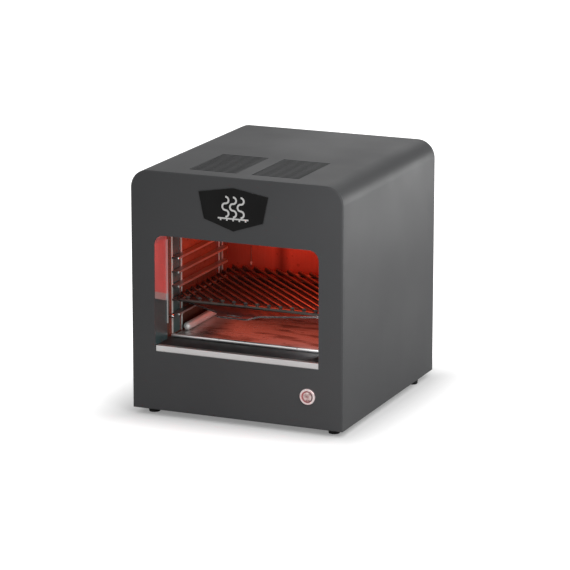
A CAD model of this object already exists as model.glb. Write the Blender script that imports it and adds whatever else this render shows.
"""Tabletop electric grill: finishes, small details, warm cavity light and a plain studio.

Lengths are in metres, +X is the grill's right, +Y its back, +Z up, with the floor at zero.
"""

import logging
import math
from dataclasses import dataclass, field, replace
from enum import Enum

import bmesh
import bpy
from mathutils import Euler, Matrix, Vector


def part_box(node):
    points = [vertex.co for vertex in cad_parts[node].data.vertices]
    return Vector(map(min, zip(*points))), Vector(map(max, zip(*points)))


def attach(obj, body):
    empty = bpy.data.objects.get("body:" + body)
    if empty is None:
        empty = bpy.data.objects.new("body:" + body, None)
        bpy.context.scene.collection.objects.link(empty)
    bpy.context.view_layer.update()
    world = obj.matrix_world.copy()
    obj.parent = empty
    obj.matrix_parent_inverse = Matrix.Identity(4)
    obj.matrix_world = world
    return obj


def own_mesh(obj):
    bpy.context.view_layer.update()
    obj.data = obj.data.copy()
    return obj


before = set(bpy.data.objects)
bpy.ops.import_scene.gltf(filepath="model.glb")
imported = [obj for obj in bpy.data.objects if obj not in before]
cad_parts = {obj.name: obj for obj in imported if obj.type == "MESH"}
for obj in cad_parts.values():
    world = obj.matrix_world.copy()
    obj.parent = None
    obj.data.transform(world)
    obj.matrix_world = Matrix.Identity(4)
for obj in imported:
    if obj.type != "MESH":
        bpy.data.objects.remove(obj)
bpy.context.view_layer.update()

LOG = logging.getLogger("grill")
Colour = tuple[float, float, float]
Point = tuple[float, float, float]
Range = tuple[float, float]
Material = bpy.types.Material
Node = bpy.types.Node
Object = bpy.types.Object
Socket = bpy.types.NodeSocket
Value = float | tuple[float, ...] | Socket

BLACK = (0.0, 0.0, 0.0)
WHITE = (1.0, 1.0, 1.0)
ORIGIN = (0.0, 0.0, 0.0)
NOISE_SPAN = (0.3, 0.7)
NOISE_MIDDLE = 0.5


class Effect(Enum):
    """Node groups that several finishes share."""

    MOTTLE = "slow_mottle"
    GRAIN = "powder_grain"
    DRAWN = "drawn_lines"
    TURNED = "turned_rings"
    FIBRE = "pressed_fibres"
    BRAID = "woven_sleeve"
    EDGE = "edge_wear"
    ENDS = "bare_cut_ends"
    DUST = "settled_dust"
    SPATTER = "fat_spatter"
    HEAT = "heat_colours"


class Graph:
    """Short ways to add and join the nodes of one node tree."""

    def __init__(self, tree: bpy.types.NodeTree) -> None:
        """Work on the node tree of a material, a world or a node group."""
        self.tree = tree

    def add(self, kind: str, inputs: dict[str | int, Value] | None = None, **settings: object) -> Node:
        """Add a node, set its options and fill or join its inputs.

        Args:
            kind: the node's type without its usual prefix.
            inputs: plain values, or sockets to join, by input name or index.
            settings: the node's own options.

        Returns:
            The new node.
        """
        node = self.tree.nodes.new(f"ShaderNode{kind}")
        for name, setting in settings.items():
            setattr(node, name, setting)
        for key, value in (inputs or {}).items():
            if isinstance(value, Socket):
                self.tree.links.new(value, node.inputs[key])
            else:
                node.inputs[key].default_value = value
        return node

    def calc(self, operation: str, first: Value, second: Value = 0.0) -> Socket:
        """Return the result of a Math node with these two inputs."""
        return self.add("Math", {0: first, 1: second}, operation=operation).outputs[0]

    def vector(self, operation: str, first: Value, second: Value = ORIGIN) -> Socket:
        """Return the vector result of a Vector Math node with these two inputs."""
        return self.add("VectorMath", {0: first, 1: second}, operation=operation).outputs[0]

    def length(self, vector: Socket) -> Socket:
        """Return a vector's length."""
        return self.add("VectorMath", {0: vector}, operation="LENGTH").outputs["Value"]

    def part(self, vector: Socket, axis: str) -> Socket:
        """Return a vector's part along X, Y or Z."""
        return self.add("SeparateXYZ", {0: vector}).outputs[axis]

    def remap(self, value: Value, low: float, high: float, to_low: Value = 0.0,
              to_high: float = 1.0) -> Socket:
        """Return a value carried from one range to another and held inside it."""
        inputs = {0: value, 1: low, 2: high, 3: to_low, 4: to_high}
        return self.add("MapRange", inputs).outputs[0]

    def mix(self, share: float, first: Socket, second: Socket) -> Socket:
        """Return this share of the first value and the rest of the second."""
        rest = self.calc("MULTIPLY", second, 1.0 - share)
        return self.calc("ADD", self.calc("MULTIPLY", first, share), rest)

    def blend(self, share: Value, first: Value, second: Value) -> Socket:
        """Return a colour between two colours, by a share from 0 to 1."""
        inputs = {0: share, 6: opaque(first), 7: opaque(second)}
        return self.add("Mix", inputs, data_type="RGBA").outputs[2]

    def noise(self, place: Value, scale: Value, detail: float = 2.0) -> Socket:
        """Return smooth noise, which mostly fills NOISE_SPAN, at a place."""
        return self.add("TexNoise", {"Vector": place, "Scale": scale, "Detail": detail}).outputs[0]

    def wave(self, place: Value, scale: Value, wobble: float) -> Socket:
        """Return slanted waves at a place, made uneven by some wobble."""
        inputs = {"Vector": place, "Scale": scale, "Distortion": wobble}
        return self.add("TexWave", inputs, bands_direction="DIAGONAL").outputs[1]

    def effect(self, effect: Effect, **inputs: Value) -> Node:
        """Place a shared effect's group node, its inputs given by name."""
        return self.add("Group", inputs, node_tree=bpy.data.node_groups[effect.value])

    def lead_out(self, node: Node, **results: Socket) -> None:
        """Join each result to the node's input of that name."""
        for name, result in results.items():
            self.tree.links.new(result, node.inputs[name])


def opaque(colour: Value) -> Value:
    """Return a plain colour with its alpha added; leave sockets as they are."""
    return colour if isinstance(colour, Socket) else (*colour[:3], 1.0)


MASK = {"Mask": "Float"}
RELIEF = {"Height": "Float", "Mask": "Float"}


def start_group(effect: Effect, inputs: dict[str, Value],
                outputs: dict[str, str]) -> tuple[Graph, dict[str, Socket], Node]:
    """Start a node group with named sockets.

    Args:
        effect: the effect, whose value names the group.
        inputs: default of each input; a tuple makes a vector input.
        outputs: type of each output, "Float" or "Color".

    Returns:
        The group's graph, its input sockets by name and its output node.
    """
    tree = bpy.data.node_groups.new(effect.value, "ShaderNodeTree")
    for name, default in inputs.items():
        kind = "Vector" if isinstance(default, tuple) else "Float"
        socket = tree.interface.new_socket(name, in_out="INPUT", socket_type=f"NodeSocket{kind}")
        socket.default_value = default
    for name, kind in outputs.items():
        tree.interface.new_socket(name, in_out="OUTPUT", socket_type=f"NodeSocket{kind}")
    entry = tree.nodes.new("NodeGroupInput")
    sockets = {name: entry.outputs[name] for name in inputs}
    return Graph(tree), sockets, tree.nodes.new("NodeGroupOutput")


@dataclass(frozen=True)
class EffectShelf:
    """Builds every shared effect once.

    A span is the low and the high value between which a mask goes from one end to the other.
    """

    fine_grain: float = 2.7
    coarse_share: float = 0.7
    pit_span: Range = (0.4, 0.7)
    broad_lines: float = 0.13
    fine_share: float = 0.65
    line_span: Range = (0.35, 0.65)
    fibre_swirl: float = 2.5
    fibre_half: float = 0.12
    strand_turn: float = 0.8
    strand_wobble: float = 0.6
    strand_span: Range = (0.4, 0.9)
    corner_span: Range = (0.86, 0.99)
    rubbed_span: Range = (0.35, 0.65)
    cut_span: Range = (0.6, 0.8)
    level_span: Range = (0.4, 1.0)
    cloud_span: Range = (0.4, 0.75)
    drop_span: Range = (0.55, 1.0)
    drop_size: float = 0.42
    drop_edge: float = 0.08
    heat_stops: tuple[tuple[float, Colour], ...] = (
        (0.0, (0.55, 0.54, 0.52)), (0.35, (0.56, 0.47, 0.34)), (0.6, (0.42, 0.28, 0.19)),
        (0.8, (0.27, 0.20, 0.24)), (1.0, (0.22, 0.24, 0.29)))

    def build(self) -> None:
        """Make all node groups."""
        for make in (self.mottle, self.grain, self.drawn, self.turned, self.fibre, self.braid,
                     self.edge, self.ends, self.dust, self.spatter, self.heat):
            make()

    def mottle(self) -> None:
        """Broad soft patches for colour and gloss."""
        graph, given, leave = start_group(Effect.MOTTLE, {"Place": ORIGIN, "Scale": 20.0}, MASK)
        broad = graph.noise(given["Place"], given["Scale"], detail=3.0)
        graph.lead_out(leave, Mask=graph.remap(broad, *NOISE_SPAN))

    def grain(self) -> None:
        """Fine orange-peel grain of sprayed powder paint, as a height and a mask."""
        graph, given, leave = start_group(Effect.GRAIN, {"Place": ORIGIN, "Scale": 900.0}, RELIEF)
        coarse = graph.noise(given["Place"], given["Scale"], detail=1.0)
        fine_scale = graph.calc("MULTIPLY", given["Scale"], self.fine_grain)
        fine = graph.noise(given["Place"], fine_scale, detail=0.0)
        graph.lead_out(leave, Height=graph.mix(self.coarse_share, coarse, fine),
                       Mask=graph.remap(fine, *self.pit_span))

    def drawn(self) -> None:
        """Long fine lines of brushed or rolled sheet, stretched by a vector."""
        graph, given, leave = start_group(
            Effect.DRAWN, {"Place": ORIGIN, "Stretch": (1.0, 0.02, 1.0), "Scale": 1400.0}, RELIEF)
        place = graph.vector("MULTIPLY", given["Place"], given["Stretch"])
        fine = graph.noise(place, given["Scale"])
        broad = graph.noise(place, graph.calc("MULTIPLY", given["Scale"], self.broad_lines), detail=1.0)
        lines = graph.mix(self.fine_share, fine, broad)
        graph.lead_out(leave, Height=lines, Mask=graph.remap(lines, *self.line_span))

    def turned(self) -> None:
        """Fine rings round an axis along Y, as a lathe leaves them."""
        graph, given, leave = start_group(
            Effect.TURNED, {"Place": ORIGIN, "Centre": ORIGIN, "Scale": 2500.0}, RELIEF)
        apart = graph.vector("SUBTRACT", given["Place"], given["Centre"])
        radius = graph.length(graph.vector("MULTIPLY", apart, (1.0, 0.0, 1.0)))
        rings = graph.add("TexNoise", {"W": radius, "Scale": given["Scale"], "Detail": 2.0},
                          noise_dimensions="1D").outputs[0]
        graph.lead_out(leave, Height=rings, Mask=graph.remap(rings, *self.line_span))

    def fibre(self) -> None:
        """Matted short fibres of a pressed mineral board."""
        graph, given, leave = start_group(Effect.FIBRE, {"Place": ORIGIN, "Scale": 500.0}, RELIEF)
        swirl = graph.add("TexNoise", {"Vector": given["Place"], "Scale": given["Scale"],
                                       "Detail": 6.0, "Distortion": self.fibre_swirl}).outputs[0]
        thread = graph.calc("ABSOLUTE", graph.calc("SUBTRACT", swirl, NOISE_MIDDLE))
        graph.lead_out(leave, Height=swirl, Mask=graph.remap(thread, 0.0, self.fibre_half, 1.0, 0.0))

    def braid(self) -> None:
        """Crossing strands of a woven sleeve, from two slanted waves."""
        graph, given, leave = start_group(Effect.BRAID, {"Place": ORIGIN, "Scale": 1000.0}, RELIEF)
        waves = []
        for turn in (self.strand_turn, -self.strand_turn):
            turned = graph.add("VectorRotate", {"Vector": given["Place"], "Angle": turn},
                               rotation_type="X_AXIS").outputs[0]
            waves.append(graph.wave(turned, given["Scale"], self.strand_wobble))
        woven = graph.calc("MAXIMUM", *waves)
        graph.lead_out(leave, Height=woven, Mask=graph.remap(woven, *self.strand_span))

    def edge(self) -> None:
        """Where a sharp edge has been rubbed, broken up by noise."""
        graph, given, leave = start_group(
            Effect.EDGE, {"Place": ORIGIN, "Radius": 0.0006, "Scale": 160.0}, MASK)
        soft = graph.add("Bevel", {"Radius": given["Radius"]}, samples=4).outputs[0]
        true = graph.add("NewGeometry").outputs["Normal"]
        along = graph.add("VectorMath", {0: soft, 1: true}, operation="DOT_PRODUCT").outputs["Value"]
        broken = graph.remap(graph.noise(given["Place"], given["Scale"], detail=4.0), *self.rubbed_span)
        corner = graph.remap(along, *self.corner_span, 1.0, 0.0)
        graph.lead_out(leave, Mask=graph.calc("MULTIPLY", corner, broken))

    def ends(self) -> None:
        """Faces that look to the front or back: the cut edges of sheet that runs fore and aft."""
        graph, _, leave = start_group(Effect.ENDS, {}, MASK)
        along = graph.calc("ABSOLUTE", graph.part(graph.add("NewGeometry").outputs["Normal"], "Y"))
        graph.lead_out(leave, Mask=graph.remap(along, *self.cut_span))

    def dust(self) -> None:
        """Thin dust that lies on faces that look up."""
        graph, given, leave = start_group(Effect.DUST, {"Place": ORIGIN, "Scale": 60.0}, MASK)
        level = graph.remap(graph.part(graph.add("NewGeometry").outputs["Normal"], "Z"), *self.level_span)
        cloud = graph.remap(graph.noise(given["Place"], given["Scale"], detail=5.0), *self.cloud_span)
        graph.lead_out(leave, Mask=graph.calc("MULTIPLY", level, cloud))

    def spatter(self) -> None:
        """Small dried drops of fat of uneven size."""
        graph, given, leave = start_group(Effect.SPATTER, {"Place": ORIGIN, "Scale": 130.0}, MASK)
        cell = graph.add("TexVoronoi", {"Vector": given["Place"], "Scale": given["Scale"], "Randomness": 1.0})
        size = graph.add("SeparateColor", {0: cell.outputs["Color"]}).outputs[0]
        limit = graph.remap(size, *self.drop_span, 0.0, self.drop_size)
        inside = graph.calc("SUBTRACT", limit, cell.outputs["Distance"])
        graph.lead_out(leave, Mask=graph.remap(inside, 0.0, self.drop_edge))

    def heat(self) -> None:
        """Colours of steel that has been hot: straw, bronze, violet, then blue-grey."""
        graph, given, leave = start_group(Effect.HEAT, {"Level": 0.0}, {"Colour": "Color"})
        ramp = graph.add("ValToRGB", {0: given["Level"]})
        elements = ramp.color_ramp.elements
        while len(elements) < len(self.heat_stops):
            elements.new(0.5)
        for element, (spot, colour) in zip(elements, self.heat_stops):
            element.position = spot
            element.color = opaque(colour)
        graph.lead_out(leave, Colour=ramp.outputs[0])


class Canvas(Graph):
    """Graph of a material, with the object coordinates that its effects lie in."""

    def __init__(self, tree: bpy.types.NodeTree) -> None:
        """Work on a material's node tree."""
        super().__init__(tree)
        self.place = self.add("TexCoord").outputs["Object"]

    def along(self, axis: str) -> Socket:
        """Return the place's coordinate along X, Y or Z."""
        return self.part(self.place, axis)

    def mask(self, effect: Effect, **inputs: Value) -> Socket:
        """Return a shared effect's mask at the place."""
        return self.effect(effect, Place=self.place, **inputs).outputs["Mask"]


@dataclass(frozen=True)
class Mark:
    """Something that lies over a finish in one colour, and may be less of a metal."""

    colour: Colour
    metallic: float | None = None
    over_soil: bool = False

    def share(self, canvas: Canvas) -> Socket:
        """Return how far the mark covers each place, from 0 to 1."""
        raise NotImplementedError


@dataclass(frozen=True)
class Stripes(Mark):
    """Slanted bands of a two-coloured lead."""

    bands: float = 55.0
    wobble: float = 0.3
    span: Range = (0.45, 0.55)

    def share(self, canvas: Canvas) -> Socket:
        """Return 1 in a band and 0 between two bands."""
        return canvas.remap(canvas.wave(canvas.place, self.bands, self.wobble), *self.span)


@dataclass(frozen=True)
class LowerPart(Mark):
    """All that lies below a slightly uneven level, which runs down towards the back."""

    levels: Range = (0.0, 0.001)
    front: float = -0.165
    slope: float = 0.30
    waves: float = 60.0
    wave_height: float = 0.002

    def share(self, canvas: Canvas) -> Socket:
        """Cover what lies below the lower level, and fade out up to the higher one.

        Args:
            canvas: the material's graph.

        Returns:
            A share from 0 to 1.
        """
        behind = canvas.calc("SUBTRACT", canvas.along("Y"), self.front)
        height = canvas.calc("ADD", canvas.along("Z"), canvas.calc("MULTIPLY", behind, self.slope))
        uneven = canvas.calc("MULTIPLY", canvas.noise(canvas.place, self.waves), self.wave_height)
        return canvas.remap(canvas.calc("ADD", height, uneven), *self.levels, 1.0, 0.0)


@dataclass(frozen=True)
class Band(Mark):
    """Upright band about a middle, with a fade at its left and right."""

    middle: float = 0.0
    half: float = 0.0
    fade: float = 0.013
    depth: float = 0.75

    def share(self, canvas: Canvas) -> Socket:
        """Return the mark's depth within the band and 0 beyond its fade."""
        apart = canvas.calc("ABSOLUTE", canvas.calc("SUBTRACT", canvas.along("X"), self.middle))
        return canvas.remap(apart, self.half, self.half + self.fade, self.depth, 0.0)


@dataclass(frozen=True)
class Smears(Mark):
    """Long smears of burnt fat across a sheet."""

    scale: Point = (16.0, 60.0, 1.0)
    span: Range = (0.50, 0.62)
    depth: float = 0.85

    def share(self, canvas: Canvas) -> Socket:
        """Return the mark's depth in a smear and 0 beside it."""
        stretched = canvas.vector("MULTIPLY", canvas.place, self.scale)
        return canvas.remap(canvas.noise(stretched, 1.0, detail=3.0), *self.span, 0.0, self.depth)


HOLLOW_SHADE = 0.6
HOLLOW_ROUGHNESS = 0.3
STAIN_SCALE = 26.0
STAIN_LEVELS = (0.55, 1.15)
DUST_COLOUR = (0.42, 0.41, 0.39)
DUST_ROUGHNESS = 0.5
FAT_COLOUR = (0.05, 0.028, 0.014)
FAT_ROUGHNESS = 0.3


@dataclass(frozen=True)
class Finish:
    """A procedural surface: drifting colour, fine structure, marks, wear, dust, fat and heat colours.

    Heights are in metres and scales are per metre.
    """

    name: str
    colour: Colour
    drift: Colour
    roughness: float
    spread: float = 0.06
    metallic: float = 0.0
    specular: float = 0.5
    texture: Effect = Effect.GRAIN
    scale: float = 900.0
    relief: float = 2e-5
    stretch: Point = (1.0, 0.02, 1.0)
    centre: Point = ORIGIN
    contrast: float = 0.15
    patches: float = 20.0
    wave: float = 0.0
    wave_scale: float = 14.0
    wear: float = 0.0
    wear_colour: Colour = (0.35, 0.35, 0.35)
    dust: float = 0.0
    spatter: float = 0.0
    heat: float = 0.0
    heat_levels: Range = (0.12, 0.27)
    bare_ends: float = 0.0
    end_colour: Colour = (0.42, 0.41, 0.40)
    coat: float = 0.0
    coat_roughness: float = 0.1
    marks: tuple[Mark, ...] = ()

    def build(self) -> Material:
        """Make this finish's material, once.

        Returns:
            The material.
        """
        title = f"{self.name}_finish"
        known = bpy.data.materials.get(title)
        if known:
            return known
        material = bpy.data.materials.new(title)
        material.use_nodes = True
        material.node_tree.nodes.clear()
        canvas = Canvas(material.node_tree)
        structure = self.structure(canvas)
        mottle = canvas.mask(Effect.MOTTLE, Scale=self.patches)
        colour = self.tint(canvas, canvas.blend(mottle, self.colour, self.drift), structure)
        rough = canvas.remap(mottle, 0.0, 1.0, self.roughness - self.spread, self.roughness + self.spread)
        hollow = canvas.calc("MULTIPLY", structure.outputs["Mask"], self.contrast * HOLLOW_ROUGHNESS)
        colour, rough = self.soil(canvas, colour, canvas.calc("ADD", rough, hollow))
        height = canvas.calc("MULTIPLY", structure.outputs["Height"], self.relief)
        if self.wave:
            slow = canvas.noise(canvas.place, self.wave_scale, detail=1.0)
            height = canvas.calc("ADD", height, canvas.calc("MULTIPLY", slow, self.wave))
        bump = canvas.add("Bump", {"Height": height, "Strength": 1.0, "Distance": 1.0}).outputs[0]
        shader = canvas.add("BsdfPrincipled", {
            "Base Color": self.lay_marks(canvas, colour, over_soil=True), "Roughness": rough,
            "Metallic": self.metal(canvas), "Normal": bump, "Specular IOR Level": self.specular,
            "Coat Weight": self.coat, "Coat Roughness": self.coat_roughness})
        self.extend(canvas, shader)
        canvas.lead_out(canvas.add("OutputMaterial"), Surface=shader.outputs[0])
        return material

    def structure(self, canvas: Canvas) -> Node:
        """Place the fine structure.

        Args:
            canvas: the material's graph.

        Returns:
            The group node, with Height and Mask outputs.
        """
        inputs: dict[str, Value] = {"Place": canvas.place, "Scale": self.scale}
        if self.texture is Effect.DRAWN:
            inputs["Stretch"] = self.stretch
        if self.texture is Effect.TURNED:
            inputs["Centre"] = self.centre
        return canvas.effect(self.texture, **inputs)

    def metal(self, canvas: Canvas) -> Value:
        """Find how far each place is a metal, which a mark may change.

        Args:
            canvas: the material's graph.

        Returns:
            The share of metal.
        """
        metal: Value = self.metallic
        for mark in self.marks:
            if mark.metallic is not None:
                metal = canvas.remap(mark.share(canvas), 0.0, 1.0, metal, mark.metallic)
        return metal

    def lay_marks(self, canvas: Canvas, colour: Socket, over_soil: bool = False) -> Socket:
        """Lay the marks that lie under, or over, dust and fat.

        Args:
            canvas: the material's graph.
            colour: colour so far.
            over_soil: whether these are the marks over dust and fat.

        Returns:
            The colour.
        """
        for mark in self.marks:
            if mark.over_soil is over_soil:
                colour = canvas.blend(mark.share(canvas), colour, mark.colour)
        return colour

    def tint(self, canvas: Canvas, colour: Socket, structure: Node) -> Socket:
        """Darken the structure's hollows and lay heat colours and marks over the base.

        Args:
            canvas: the material's graph.
            colour: base colour so far.
            structure: the fine structure's group node.

        Returns:
            The colour.
        """
        dark = tuple(part * HOLLOW_SHADE for part in self.colour)
        share = canvas.calc("MULTIPLY", structure.outputs["Mask"], self.contrast)
        colour = canvas.blend(share, colour, dark)
        if self.heat:
            level = canvas.remap(canvas.along("Z"), *self.heat_levels)
            stains = canvas.noise(canvas.place, STAIN_SCALE, detail=3.0)
            uneven = canvas.remap(stains, *NOISE_SPAN, *STAIN_LEVELS)
            level = canvas.calc("MULTIPLY", level, uneven)
            stained = canvas.effect(Effect.HEAT, Level=level).outputs["Colour"]
            colour = canvas.blend(canvas.calc("MULTIPLY", level, self.heat), colour, stained)
        return self.lay_marks(canvas, colour)

    def soil(self, canvas: Canvas, colour: Socket, rough: Socket) -> tuple[Socket, Socket]:
        """Add bare cut edges, rubbed corners, dust and dried fat.

        Args:
            canvas: the material's graph.
            colour: colour so far.
            rough: roughness so far.

        Returns:
            The colour and the roughness.
        """
        if self.bare_ends:
            ends = canvas.effect(Effect.ENDS).outputs["Mask"]
            colour = canvas.blend(canvas.calc("MULTIPLY", ends, self.bare_ends), colour, self.end_colour)
        if self.wear:
            rubbed = canvas.calc("MULTIPLY", canvas.mask(Effect.EDGE), self.wear)
            colour = canvas.blend(rubbed, colour, self.wear_colour)
        layers = ((Effect.DUST, self.dust, DUST_COLOUR, DUST_ROUGHNESS),
                  (Effect.SPATTER, self.spatter, FAT_COLOUR, FAT_ROUGHNESS))
        for effect, depth, dirt, rougher in layers:
            if depth:
                lying = canvas.calc("MULTIPLY", canvas.mask(effect), depth)
                colour = canvas.blend(lying, colour, dirt)
                rough = canvas.calc("ADD", rough, canvas.calc("MULTIPLY", lying, rougher))
        return colour, rough

    def extend(self, canvas: Canvas, shader: Node) -> None:
        """Add nothing more; a finish that glows says otherwise."""


@dataclass(frozen=True)
class Glow(Finish):
    """A finish that gives uneven light, which can fade out towards the right of its centre."""

    glow: Colour = (1.0, 0.3, 0.08)
    glow_drift: Colour = (0.8, 0.1, 0.02)
    glow_scale: float = 25.0
    strength: float = 1.0
    fade_half: float = 0.0

    def extend(self, canvas: Canvas, shader: Node) -> None:
        """Join the emission colour.

        Args:
            canvas: the material's graph.
            shader: the surface shader.
        """
        light = canvas.blend(canvas.mask(Effect.MOTTLE, Scale=self.glow_scale), self.glow, self.glow_drift)
        if self.fade_half:
            across = canvas.calc("SUBTRACT", canvas.along("X"), self.centre[0])
            light = canvas.blend(canvas.remap(across, -self.fade_half, self.fade_half), light, BLACK)
        canvas.lead_out(shader, **{"Emission Color": light})
        shader.inputs["Emission Strength"].default_value = self.strength


PAINT = Finish(
    "casing_powder_paint", (0.047, 0.048, 0.050), (0.053, 0.054, 0.056), 0.47, scale=1300.0, relief=1e-5,
    contrast=0.10, patches=7.0, wear=0.35, wear_colour=(0.16, 0.16, 0.165), specular=0.28, wave=4e-5,
    wave_scale=9.0)
REAR_PAINT = Finish(
    "rear_powder_paint", (0.035, 0.036, 0.037), (0.042, 0.043, 0.044), 0.58, scale=1000.0, relief=1.4e-5,
    patches=9.0, wear=0.4, dust=0.12)
GALVANISED = Finish(
    "galvanised_sheet", (0.42, 0.43, 0.44), (0.55, 0.56, 0.57), 0.42, metallic=0.9, texture=Effect.FIBRE,
    scale=90.0, relief=1e-5, contrast=0.35, patches=40.0, dust=0.15)
POLISHED = Finish(
    "polished_sheet", (0.46, 0.46, 0.46), (0.54, 0.53, 0.52), 0.26, 0.05, metallic=1.0,
    texture=Effect.DRAWN, stretch=(1.0, 1.0, 0.015), scale=1800.0, relief=1.2e-6, contrast=0.12,
    wave=6e-5)
LINER = replace(
    POLISHED, name="liner_sheet", colour=(0.60, 0.21, 0.21), drift=(0.70, 0.25, 0.25), roughness=0.30,
    metallic=0.55, bare_ends=0.9, end_colour=(0.55, 0.54, 0.53),
    marks=(LowerPart((0.42, 0.48, 0.49), levels=(0.1725, 0.1745)),
           LowerPart((0.022, 0.056, 0.060), metallic=0.0, levels=(0.1635, 0.1645))))
TRIM = Finish(
    "bright_trim", (0.72, 0.72, 0.72), (0.78, 0.78, 0.77), 0.30, 0.03, metallic=0.9, texture=Effect.DRAWN,
    stretch=(0.012, 1.0, 1.0), scale=2200.0, relief=1e-6, contrast=0.10)
# The racks' inner edges, rubbed bright by whatever slides along them.
RUBBED = Band((0.85, 0.90, 0.87), over_soil=True, half=0.1218, fade=0.0002, depth=0.9)
RACK_STEEL = Finish(
    "rack_upright_steel", (0.088, 0.130, 0.128), (0.115, 0.165, 0.162), 0.46, metallic=0.30,
    texture=Effect.DRAWN, stretch=(1.0, 1.0, 0.02), scale=1500.0, relief=1.5e-6, contrast=0.2,
    bare_ends=0.85, wear=0.9, end_colour=(0.42, 0.07, 0.045), wear_colour=RUBBED.colour, spatter=0.3,
    marks=(RUBBED,))
LEDGE_STEEL = Finish(
    "rack_ledge_steel", (0.22, 0.27, 0.27), (0.30, 0.36, 0.36), 0.36, metallic=0.9, texture=Effect.DRAWN,
    scale=1500.0, relief=1.5e-6, contrast=0.2, bare_ends=0.5, end_colour=(0.10, 0.09, 0.09), wear=0.9,
    wear_colour=(0.55, 0.54, 0.52), spatter=0.3,
    marks=(replace(RUBBED, colour=(0.56, 0.64, 0.63), half=0.1115),))
SIDE_STEEL = Finish(
    "cavity_side_steel", (0.15, 0.085, 0.062), (0.23, 0.125, 0.090), 0.46, 0.07, metallic=0.75,
    texture=Effect.DRAWN, stretch=(1.0, 1.0, 0.02), scale=1300.0, relief=2e-6, contrast=0.25,
    patches=11.0, heat=0.15, spatter=0.35, wave=0.00018, wave_scale=8.0)
# Darker along the pressed bead and at the right.
CAVITY_STEEL = replace(
    SIDE_STEEL, name="cavity_steel", colour=(0.25, 0.060, 0.036), roughness=0.50,
    drift=(0.34, 0.090, 0.056), heat=0.12,
    marks=(Band((0.05, 0.012, 0.0072), middle=-0.041),
           Band((0.05, 0.012, 0.0072), middle=0.15, half=0.07, fade=0.07, depth=0.5)))
PROBE_SHEATH = Finish(
    "probe_sheath", (0.030, 0.028, 0.028), (0.045, 0.042, 0.042), 0.45, metallic=0.3, scale=1400.0,
    relief=4e-6,
    marks=(LowerPart((0.03, 0.03, 0.03), levels=(0.1645, 0.1665), slope=0.0),
           LowerPart((0.24, 0.29, 0.29), metallic=0.2, levels=(0.1635, 0.1645), slope=0.0)))
SILL_PAINT = Finish(
    "sill_black_paint", (0.011, 0.011, 0.012), (0.017, 0.017, 0.018), 0.40, scale=1100.0, relief=6e-6,
    contrast=0.1, specular=0.28, wear=0.3, dust=0.04)
RUBBER = Finish(
    "foot_rubber", (0.012, 0.012, 0.012), (0.022, 0.022, 0.021), 0.72, scale=1600.0, relief=3e-5,
    contrast=0.25, specular=0.35, dust=0.2)
ZINC = Finish(
    "zinc_plate", (0.58, 0.58, 0.55), (0.66, 0.65, 0.58), 0.30, metallic=1.0, scale=1400.0, relief=6e-6,
    contrast=0.2, patches=120.0)
BLACK_SCREW = Finish(
    "black_oxide", (0.018, 0.018, 0.019), (0.035, 0.034, 0.033), 0.38, metallic=0.6, scale=1500.0,
    relief=6e-6, contrast=0.2, patches=160.0, wear=0.5)
BADGE_BLACK = Finish(
    "badge_enamel", (0.006, 0.006, 0.006), (0.009, 0.009, 0.009), 0.50, 0.03, scale=1500.0, relief=3e-6,
    contrast=0.1, specular=0.12, wear=0.25)
BADGE_SILVER = Finish(
    "badge_raised_print", (0.62, 0.62, 0.61), (0.72, 0.72, 0.71), 0.36, 0.05, metallic=0.55,
    texture=Effect.DRAWN, stretch=(0.03, 1.0, 1.0), scale=2600.0, relief=3e-6, contrast=0.25)
MINERAL = Finish(
    "mineral_board", (0.60, 0.57, 0.48), (0.72, 0.69, 0.60), 0.92, 0.04, texture=Effect.FIBRE, scale=350.0,
    relief=0.00025, contrast=0.45, specular=0.2, patches=30.0)
CERAMIC = Finish(
    "glazed_ceramic", (0.74, 0.72, 0.66), (0.82, 0.80, 0.75), 0.22, 0.05, scale=700.0, relief=1e-5,
    contrast=0.12, coat=0.4, patches=80.0)
ELEMENT = Glow(
    "glowing_element", (0.20, 0.09, 0.06), (0.28, 0.13, 0.08), 0.55, metallic=0.4, scale=1500.0,
    relief=1e-5, contrast=0.3, glow=(1.0, 0.16, 0.03), glow_drift=(0.8, 0.05, 0.01), strength=1.2)
GRATE_STEEL = Finish(
    "grate_steel", (0.045, 0.042, 0.040), (0.085, 0.078, 0.072), 0.30, metallic=0.8, texture=Effect.DRAWN,
    stretch=(0.1, 0.1, 1.0), scale=1200.0, relief=4e-6, contrast=0.3, patches=90.0, heat=0.1,
    heat_levels=(0.10, 0.17), spatter=0.4)
PAN_STEEL = Finish(
    "pan_dark_enamel", (0.016, 0.016, 0.017), (0.024, 0.023, 0.024), 0.40, 0.05, relief=4e-6,
    contrast=0.2, patches=18.0, spatter=0.5, wave=9e-5, wear=0.9, wear_colour=(0.50, 0.49, 0.48),
    specular=0.2)
TRAY_STEEL = Finish(
    "tray_steel", (0.50, 0.49, 0.48), (0.62, 0.61, 0.60), 0.27, 0.05, metallic=0.85, texture=Effect.DRAWN,
    stretch=(0.012, 1.0, 1.0), scale=1500.0, relief=1.2e-6, patches=12.0, spatter=0.4, wave=0.0005,
    wave_scale=11.0, bare_ends=0.95, end_colour=(0.92, 0.92, 0.92), marks=(Smears((0.13, 0.10, 0.09)),))
TUBE_STEEL = Finish(
    "tube_steel", (0.74, 0.73, 0.72), (0.82, 0.81, 0.80), 0.42, 0.05, metallic=0.35, texture=Effect.DRAWN,
    scale=1500.0, relief=1.5e-6, patches=30.0)
BUTTON_AXIS = (0.104, 0.0, 0.053)
BUTTON_CHROME = Finish(
    "button_turned_metal", (0.98, 0.95, 0.95), (0.80, 0.55, 0.55), 0.22, 0.04, metallic=0.8,
    texture=Effect.TURNED, centre=BUTTON_AXIS, scale=2600.0, relief=3e-6, contrast=0.2, patches=150.0)
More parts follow.
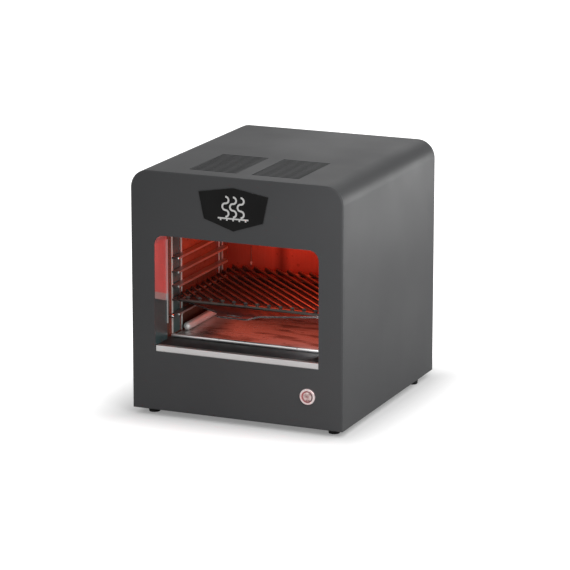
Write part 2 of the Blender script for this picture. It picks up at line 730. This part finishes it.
BUTTON_CAP = replace(
    BUTTON_CHROME, name="button_cap_metal", colour=(0.34, 0.16, 0.16), drift=(1.0, 0.88, 0.85),
    roughness=0.30, spread=0.06, contrast=0.25, patches=260.0)
LIT_RING = Glow(
    "lit_ring", (0.13, 0.080, 0.080), (0.17, 0.105, 0.105), 0.30, scale=1800.0, relief=4e-6,
    centre=BUTTON_AXIS, coat=0.2, glow=(1.0, 0.05, 0.07), glow_drift=(1.0, 0.12, 0.12), glow_scale=160.0,
    strength=0.24, fade_half=0.007)
PLASTIC = Finish(
    "moulded_plastic", (0.020, 0.020, 0.021), (0.030, 0.030, 0.031), 0.42, relief=1.2e-5, contrast=0.2,
    patches=50.0, dust=0.08)
SPRING = Finish(
    "spring_steel", (0.50, 0.49, 0.47), (0.60, 0.59, 0.56), 0.28, metallic=1.0, scale=1500.0,
    relief=4e-6, contrast=0.2, patches=200.0)
BRASS = Finish(
    "nickelled_brass", (0.66, 0.55, 0.34), (0.74, 0.66, 0.46), 0.27, metallic=1.0, texture=Effect.DRAWN,
    stretch=(1.0, 0.05, 1.0), scale=1500.0, relief=3e-6, contrast=0.2, patches=120.0)
RELAY_BLUE = Finish(
    "relay_case", (0.03, 0.08, 0.26), (0.04, 0.10, 0.31), 0.35, relief=1e-5, patches=60.0)
LEAD_BLACK = Finish(
    "lead_black", (0.02, 0.02, 0.021), (0.032, 0.031, 0.031), 0.46, scale=700.0, relief=1e-5,
    patches=60.0)
LEAD_EARTH = Finish(
    "lead_earth", (0.05, 0.26, 0.06), (0.06, 0.30, 0.07), 0.42, scale=700.0, relief=1e-5,
    marks=(Stripes((0.75, 0.62, 0.05)),))
LEAD_GLASS = Finish(
    "lead_glass_sleeve", (0.66, 0.62, 0.52), (0.76, 0.73, 0.64), 0.74, texture=Effect.BRAID,
    relief=9e-5, contrast=0.4, patches=40.0)
FLOOR = Finish(
    "studio_floor", (0.64, 0.64, 0.64), (0.66, 0.66, 0.66), 0.75, 0.05, scale=300.0, relief=1e-5,
    contrast=0.02, specular=0.1, patches=2.0)


def add_object(name: str, data: bpy.types.ID) -> Object:
    """Put an object into the scene.

    Args:
        name: its name.
        data: its mesh, light or camera.

    Returns:
        The object.
    """
    thing = bpy.data.objects.new(name, data)
    bpy.context.scene.collection.objects.link(thing)
    return thing


def facing(way: Vector) -> Euler:
    """Return the turn that makes a lamp or a camera look this way."""
    return way.to_track_quat("-Z", "Y").to_euler()


def mesh_piece(name: str, shape: bmesh.types.BMesh, finish: Finish, body: str) -> Object:
    """Turn a built shape into a piece of the grill.

    Args:
        name: the piece's name.
        shape: its mesh, which is freed.
        finish: its finish.
        body: the CAD body that it rides on.

    Returns:
        The piece.
    """
    mesh = bpy.data.meshes.new(name)
    shape.to_mesh(mesh)
    shape.free()
    for face in mesh.polygons:
        face.use_smooth = True
    piece = add_object(name, mesh)
    mesh.materials.append(finish.build())
    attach(piece, body)
    return piece


class Tone(Enum):
    """Colour of a soft lamp."""

    GLOWING = (1.0, 0.088, 0.035)
    AMBER = (1.0, 0.150, 0.085)
    PLAIN = WHITE


class Reach(Enum):
    """Which nodes a lamp's light reaches: every one, all but some, or only some."""

    ALL = ("EXCLUDE",)
    GLOW = ("EXCLUDE", "left_rack_uprights", "right_rack_uprights", "sill_plate", "sill_trim")
    LINER = ("INCLUDE", "opening_liner")

    def limit(self, lamp: Object) -> None:
        """Keep a lamp's light to this reach.

        Args:
            lamp: the lamp.
        """
        state, *names = self.value
        if not names:
            return
        group = bpy.data.collections.new(f"{lamp.name}_reach")
        for name in names:
            group.objects.link(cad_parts[name])
        for entry in group.collection_objects:
            entry.light_linking.link_state = state
        lamp.light_linking.receiver_collection = group


@dataclass(frozen=True)
class SoftLamp:
    """A soft rectangular lamp, which the camera doesn't see."""

    name: str
    place: Point
    target: Point
    size: tuple[float, float]
    watts: float
    tone: Tone = Tone.PLAIN
    reach: Reach = Reach.ALL

    def hang(self) -> None:
        """Hang the lamp, turned to its target, and keep its light to its reach."""
        light = bpy.data.lights.new(self.name, "AREA")
        light.shape = "RECTANGLE"
        light.size, light.size_y = self.size
        light.color = self.tone.value
        light.energy = self.watts
        lamp = add_object(self.name, light)
        lamp.location = self.place
        lamp.rotation_euler = facing(Vector(self.target) - Vector(self.place))
        lamp.visible_camera = False
        self.reach.limit(lamp)


@dataclass(frozen=True)
class FarLamp:
    """A wide soft lamp far away, given by its direction and its width in degrees."""

    name: str
    azimuth: float
    elevation: float
    strength: float
    width: float

    def hang(self) -> None:
        """Hang the lamp so that it shines from its direction."""
        light = bpy.data.lights.new(self.name, "SUN")
        light.energy = self.strength
        light.angle = math.radians(self.width)
        turn, rise = math.radians(self.azimuth), math.radians(self.elevation)
        source = Vector((math.sin(turn) * math.cos(rise), -math.cos(turn) * math.cos(rise), math.sin(rise)))
        add_object(self.name, light).rotation_euler = facing(-source)


Coats = dict[str, Finish]


def by_node(**finishes: Finish) -> Coats:
    """Return the field that holds an assembly's CAD nodes, each with its finish."""
    return field(default_factory=lambda: dict(finishes))


@dataclass
class Assembly:
    """A sub-assembly: the CAD nodes that it dresses, and the body that they ride on."""

    body: str = "casing"
    coats: Coats = by_node()

    def build(self) -> list[Object]:
        """Make the pieces that CAD leaves out; most assemblies have none."""
        return []

    def dress(self) -> None:
        """Give every CAD node its finish."""
        for node, finish in self.coats.items():
            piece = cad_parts[node]
            piece.data.materials.clear()
            piece.data.materials.append(finish.build())

    def assemble(self) -> None:
        """Build, dress and log the assembly and the pieces that it adds."""
        added = self.build()
        self.dress()
        LOG.info("%s: %d nodes dressed", type(self).__name__, len(self.coats))
        for piece in added:
            LOG.info("  added %s, %d faces", piece.name, len(piece.data.polygons))


@dataclass
class Casing(Assembly):
    """Folded wrap, front and rear panel, base plate, feet and their screws."""

    coats: Coats = by_node(
        outer_wrap=PAINT, front_panel=PAINT, rear_panel=REAR_PAINT, base_plate=GALVANISED,
        rubber_feet=RUBBER, foot_screws=ZINC, foot_nuts=ZINC, rear_screws=BLACK_SCREW)


@dataclass
class Badge(Assembly):
    """Badge plate with its raised emblem of waves over a grate."""

    coats: Coats = by_node(badge_plate=BADGE_BLACK, badge_emblem=BADGE_SILVER)


@dataclass
class Opening(Assembly):
    """Liner of the front opening, bright strip and dark sill."""

    coats: Coats = by_node(opening_liner=LINER, sill_trim=TRIM, sill_plate=SILL_PAINT)


@dataclass
class Cavity(Assembly):
    """Sheets of the hot space, mineral boards, bulkhead and supports."""

    coats: Coats = by_node(
        cavity_floor=CAVITY_STEEL, cavity_left_wall=SIDE_STEEL, cavity_right_wall=SIDE_STEEL,
        cavity_back_wall=CAVITY_STEEL, cavity_roof=CAVITY_STEEL, insulation_left=MINERAL,
        insulation_right=MINERAL, insulation_top=MINERAL, insulation_back=MINERAL, rear_bulkhead=GALVANISED,
        cavity_supports=GALVANISED, lead_grommet=RUBBER)


@dataclass
class Racks(Assembly):
    """Ladder racks: flanged uprights, thin ledges and round-headed studs."""

    coats: Coats = by_node(
        left_rack_uprights=RACK_STEEL, right_rack_uprights=RACK_STEEL, left_rack_ledges=LEDGE_STEEL,
        right_rack_ledges=LEDGE_STEEL, rack_studs=POLISHED)


@dataclass
class Heater(Assembly):
    """Tubular element under the roof, the light in the cavity and the temperature probe."""

    coats: Coats = by_node(
        heater_element=ELEMENT, heater_pins=ZINC, heater_bushes=CERAMIC, heater_hangers=CAVITY_STEEL)
    lamps: tuple[SoftLamp, ...] = (
        SoftLamp("element_light", (0.0, 0.0, 0.2535), (0.0, 0.0, 0.0), (0.14, 0.14), 0.68,
                 Tone.GLOWING, Reach.GLOW),
        SoftLamp("floor_light", (0.0, -0.005, 0.1285), (0.0, -0.005, 0.0), (0.20, 0.13), 0.055,
                 Tone.AMBER, Reach.GLOW),
        SoftLamp("warm_jamb_light", (0.118, -0.150, 0.236), (-0.127, -0.150, 0.232), (0.02, 0.03), 0.14,
                 Tone.GLOWING, Reach.LINER),
        SoftLamp("jamb_light", (0.105, -0.135, 0.122), (-0.120, -0.060, 0.108), (0.02, 0.02), 0.05),
    )
    probe_at: tuple[float, float] = (-0.0865, 0.0775)
    probe_heights: Range = (0.161, 0.2545)
    probe_radius: float = 0.0006
    tip_radius: float = 0.0016
    tip_half: float = 0.0035
    shoulder_rise: float = 0.7
    shoulder_swell: float = 0.8
    steps: int = 12
    weld: float = 1e-5

    def probe(self) -> Object:
        """Make the thin temperature probe that hangs before the back wall, with its sealed tip.

        Returns:
            The piece.
        """
        shape = bmesh.new()
        x, y = self.probe_at
        low, high = self.probe_heights
        rise, swell = self.tip_half * self.shoulder_rise, self.tip_radius * self.shoulder_swell
        profile = ((low - self.tip_half, 0.0), (low - rise, swell), (low, self.tip_radius),
                   (low + rise, swell), (low + self.tip_half, self.probe_radius), (high, self.probe_radius))
        corners = [shape.verts.new((x + radius, y, height)) for height, radius in profile]
        edges = [shape.edges.new(pair) for pair in zip(corners, corners[1:])]
        bmesh.ops.spin(shape, geom=corners + edges, cent=(x, y, low), axis=(0.0, 0.0, 1.0),
                       angle=math.tau, steps=self.steps, use_duplicate=False)
        bmesh.ops.remove_doubles(shape, verts=shape.verts, dist=self.weld)
        bmesh.ops.holes_fill(shape, edges=shape.edges)
        bmesh.ops.recalc_face_normals(shape, faces=shape.faces)
        return mesh_piece("temperature_probe", shape, PROBE_SHEATH, self.body)

    def build(self) -> list[Object]:
        """Hang soft lamps under the element, under the pan and behind the right jamb; add the probe.

        Returns:
            The probe.
        """
        for lamp in self.lamps:
            lamp.hang()
        return [self.probe()]


@dataclass
class Grate(Assembly):
    """Wire frame with slanted rods and a weld bead wherever a rod crosses the frame."""

    body: str = "grate"
    coats: Coats = by_node(grate_frame=GRATE_STEEL, grate_rods=GRATE_STEEL)
    wire: float = 0.0025
    rods: int = 23
    pitch: float = 0.012
    slant: float = 135.0
    bead: float = 0.0021
    bead_shape: Point = (1.25, 1.0, 0.62)

    def crossings(self) -> list[Vector]:
        """Find where the rods' centre lines cross the frame's.

        Returns:
            The crossings, at the height of the frame's top.
        """
        low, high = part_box("grate_frame")
        half = high.x - self.wire
        front, back = low.y + self.wire, high.y - self.wire
        step = self.pitch * math.sqrt(2.0)
        spots = []
        for index in range(self.rods):
            total = (index - (self.rods - 1) / 2) * step + (front + back) / 2
            for x in (-half, half):
                if front <= total - x <= back:
                    spots.append(Vector((x, total - x, high.z)))
            for y in (front, back):
                if abs(total - y) < half:
                    spots.append(Vector((total - y, y, high.z)))
        return spots

    def build(self) -> list[Object]:
        """Make the weld beads as one piece.

        Returns:
            The piece.
        """
        shape = bmesh.new()
        form = Matrix.Rotation(math.radians(self.slant), 4, "Z") @ Matrix.Diagonal((*self.bead_shape, 1.0))
        for spot in self.crossings():
            bmesh.ops.create_icosphere(shape, subdivisions=2, radius=self.bead,
                                       matrix=Matrix.Translation(spot) @ form)
        return [mesh_piece("grate_weld_beads", shape, GRATE_STEEL, self.body)]


@dataclass
class Pan(Assembly):
    """Drip pan with its turned rim and handle tongue."""

    body: str = "pan"
    coats: Coats = by_node(drip_pan=PAN_STEEL, pan_grip=PAN_STEEL)


@dataclass
class Tray(Assembly):
    """Bottom tray with its rolled lip and bright side tubes."""

    body: str = "tray"
    coats: Coats = by_node(bottom_tray=TRAY_STEEL, tray_tubes=TUBE_STEEL)


@dataclass
class Button(Assembly):
    """Push button with its lit ring, and the switch behind it."""

    coats: Coats = by_node(
        button_bezel=BUTTON_CHROME, light_ring=LIT_RING, button_cap=BUTTON_CAP, switch_body=PLASTIC,
        switch_nut=ZINC, switch_blades=BRASS, button_spring=SPRING)
    travel: float = 0.0025

    def build(self) -> list[Object]:
        """Let the return spring shorten against its seat by the button's travel.

        Returns:
            No piece.
        """
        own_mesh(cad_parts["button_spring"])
        return []


@dataclass
class Electrics(Assembly):
    """Mains inlet, devices on the bulkhead and the leads between them."""

    coats: Coats = by_node(
        inlet_housing=PLASTIC, inlet_pins=BRASS, inlet_screws=BLACK_SCREW, terminal_block=CERAMIC,
        block_screws=BRASS, power_relay=RELAY_BLUE, thermal_cutout=PLASTIC, device_screws=ZINC,
        earth_stud=ZINC, mains_leads=LEAD_BLACK, earth_lead=LEAD_EARTH, heater_leads=LEAD_GLASS,
        switch_leads=LEAD_BLACK)


@dataclass
class Studio:
    """Camera, white floor, white surround and soft lamps."""

    camera_place: Point = (1.6436, -3.8272, 1.2015)
    camera_way: Point = (-0.38302, 0.89105, -0.24355)
    lens: float = 197.475
    floor_half: float = 12.0
    surround: float = 0.42
    floor_lift: float = 0.22
    floor_fade: Range = (0.006, 0.12)
    fade_lift: float = 0.75
    mirrored_floor: float = 0.1
    mirrored_white: float = 0.32
    lamps: tuple[FarLamp | SoftLamp, ...] = (
        FarLamp("key", 70.0, 62.0, 0.85, 80.0),
        FarLamp("fill", -50.0, 60.0, 0.28, 120.0),
        SoftLamp("side_panel", (0.56, 0.60, 0.26), (0.153, -0.02, 0.30), (0.35, 0.30), 1.8),
        SoftLamp("front_panel", (0.36, -0.46, 0.30), (0.15, -0.17, 0.26), (0.25, 0.25), 1.05),
        SoftLamp("top_panel", (-0.10, 0.80, 0.72), (0.05, 0.05, 0.339), (0.5, 0.5), 0.45),
    )

    def place_camera(self) -> None:
        """Put the camera where the photograph's was."""
        data = bpy.data.cameras.new("camera")
        data.lens = self.lens
        camera = add_object("camera", data)
        camera.location = self.camera_place
        camera.rotation_euler = facing(Vector(self.camera_way))
        bpy.context.scene.camera = camera

    def seen_white(self, graph: Graph, mirrored: float) -> Socket:
        """Tell rays that see the background from the others.

        Args:
            graph: the floor's or the world's graph.
            mirrored: result for mirror rays.

        Returns:
            1 for rays that see the background, 0 for the others.
        """
        path = graph.add("LightPath").outputs
        direct = graph.calc("MAXIMUM", path["Is Camera Ray"], path["Is Transmission Ray"])
        return graph.calc("MAXIMUM", direct, graph.calc("MULTIPLY", path["Is Glossy Ray"], mirrored))

    def beside_casing(self, canvas: Canvas) -> Socket:
        """Measure how far a place on the floor lies outside the casing's outline.

        Args:
            canvas: the floor material's graph.

        Returns:
            The distance.
        """
        low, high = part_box("outer_wrap")
        outline = ((high.x - low.x) / 2, (high.y - low.y) / 2, 0.0)
        apart = canvas.vector("SUBTRACT", canvas.vector("ABSOLUTE", canvas.place), outline)
        return canvas.length(canvas.vector("MAXIMUM", apart))

    def floor_material(self) -> Material:
        """Add a glow that grows away from the grill to the floor's finish.

        Returns:
            The material.
        """
        material = FLOOR.build()
        canvas = Canvas(material.node_tree)
        leave = next(node for node in canvas.tree.nodes if node.type == "OUTPUT_MATERIAL")
        lit = leave.inputs["Surface"].links[0].from_socket
        fade = canvas.remap(self.beside_casing(canvas), *self.floor_fade, 0.0, self.fade_lift)
        lift = canvas.calc("MULTIPLY", self.seen_white(canvas, self.mirrored_floor),
                           canvas.calc("ADD", fade, self.floor_lift))
        glow = canvas.add("Emission", {"Color": opaque(WHITE), "Strength": lift}).outputs[0]
        canvas.lead_out(leave, Surface=canvas.add("AddShader", {0: lit, 1: glow}).outputs[0])
        return material

    def lay_floor(self) -> None:
        """Lay a pale floor on which only the grill's near shadow shows."""
        shape = bmesh.new()
        bmesh.ops.create_grid(shape, x_segments=1, y_segments=1, size=self.floor_half)
        mesh = bpy.data.meshes.new("floor")
        shape.to_mesh(mesh)
        shape.free()
        mesh.materials.append(self.floor_material())
        floor = add_object("floor", mesh)

    def surround_with_white(self) -> None:
        """Fill the world with even light that is plain white where it is seen."""
        world = bpy.data.worlds.new("studio")
        world.use_nodes = True
        world.node_tree.nodes.clear()
        bpy.context.scene.world = world
        graph = Graph(world.node_tree)
        strength = graph.remap(self.seen_white(graph, self.mirrored_white), 0.0, 1.0, self.surround, 1.0)
        back = graph.add("Background", {"Color": opaque(WHITE), "Strength": strength}).outputs[0]
        graph.lead_out(graph.add("OutputWorld"), Surface=back)

    def build(self) -> None:
        """Set up the studio."""
        bpy.context.scene.view_settings.view_transform = "Standard"
        self.place_camera()
        self.lay_floor()
        self.surround_with_white()
        for lamp in self.lamps:
            lamp.hang()


def main() -> None:
    """Build the effects, dress every sub-assembly, add its details and set up the studio."""
    logging.basicConfig(level=logging.INFO, format="%(message)s")
    EffectShelf().build()
    for assembly in (Casing, Badge, Opening, Cavity, Racks, Heater, Grate, Pan, Tray, Button, Electrics):
        assembly().assemble()
    Studio().build()
    LOG.info("%d materials", len(bpy.data.materials))


if __name__ == "__main__":
    main()
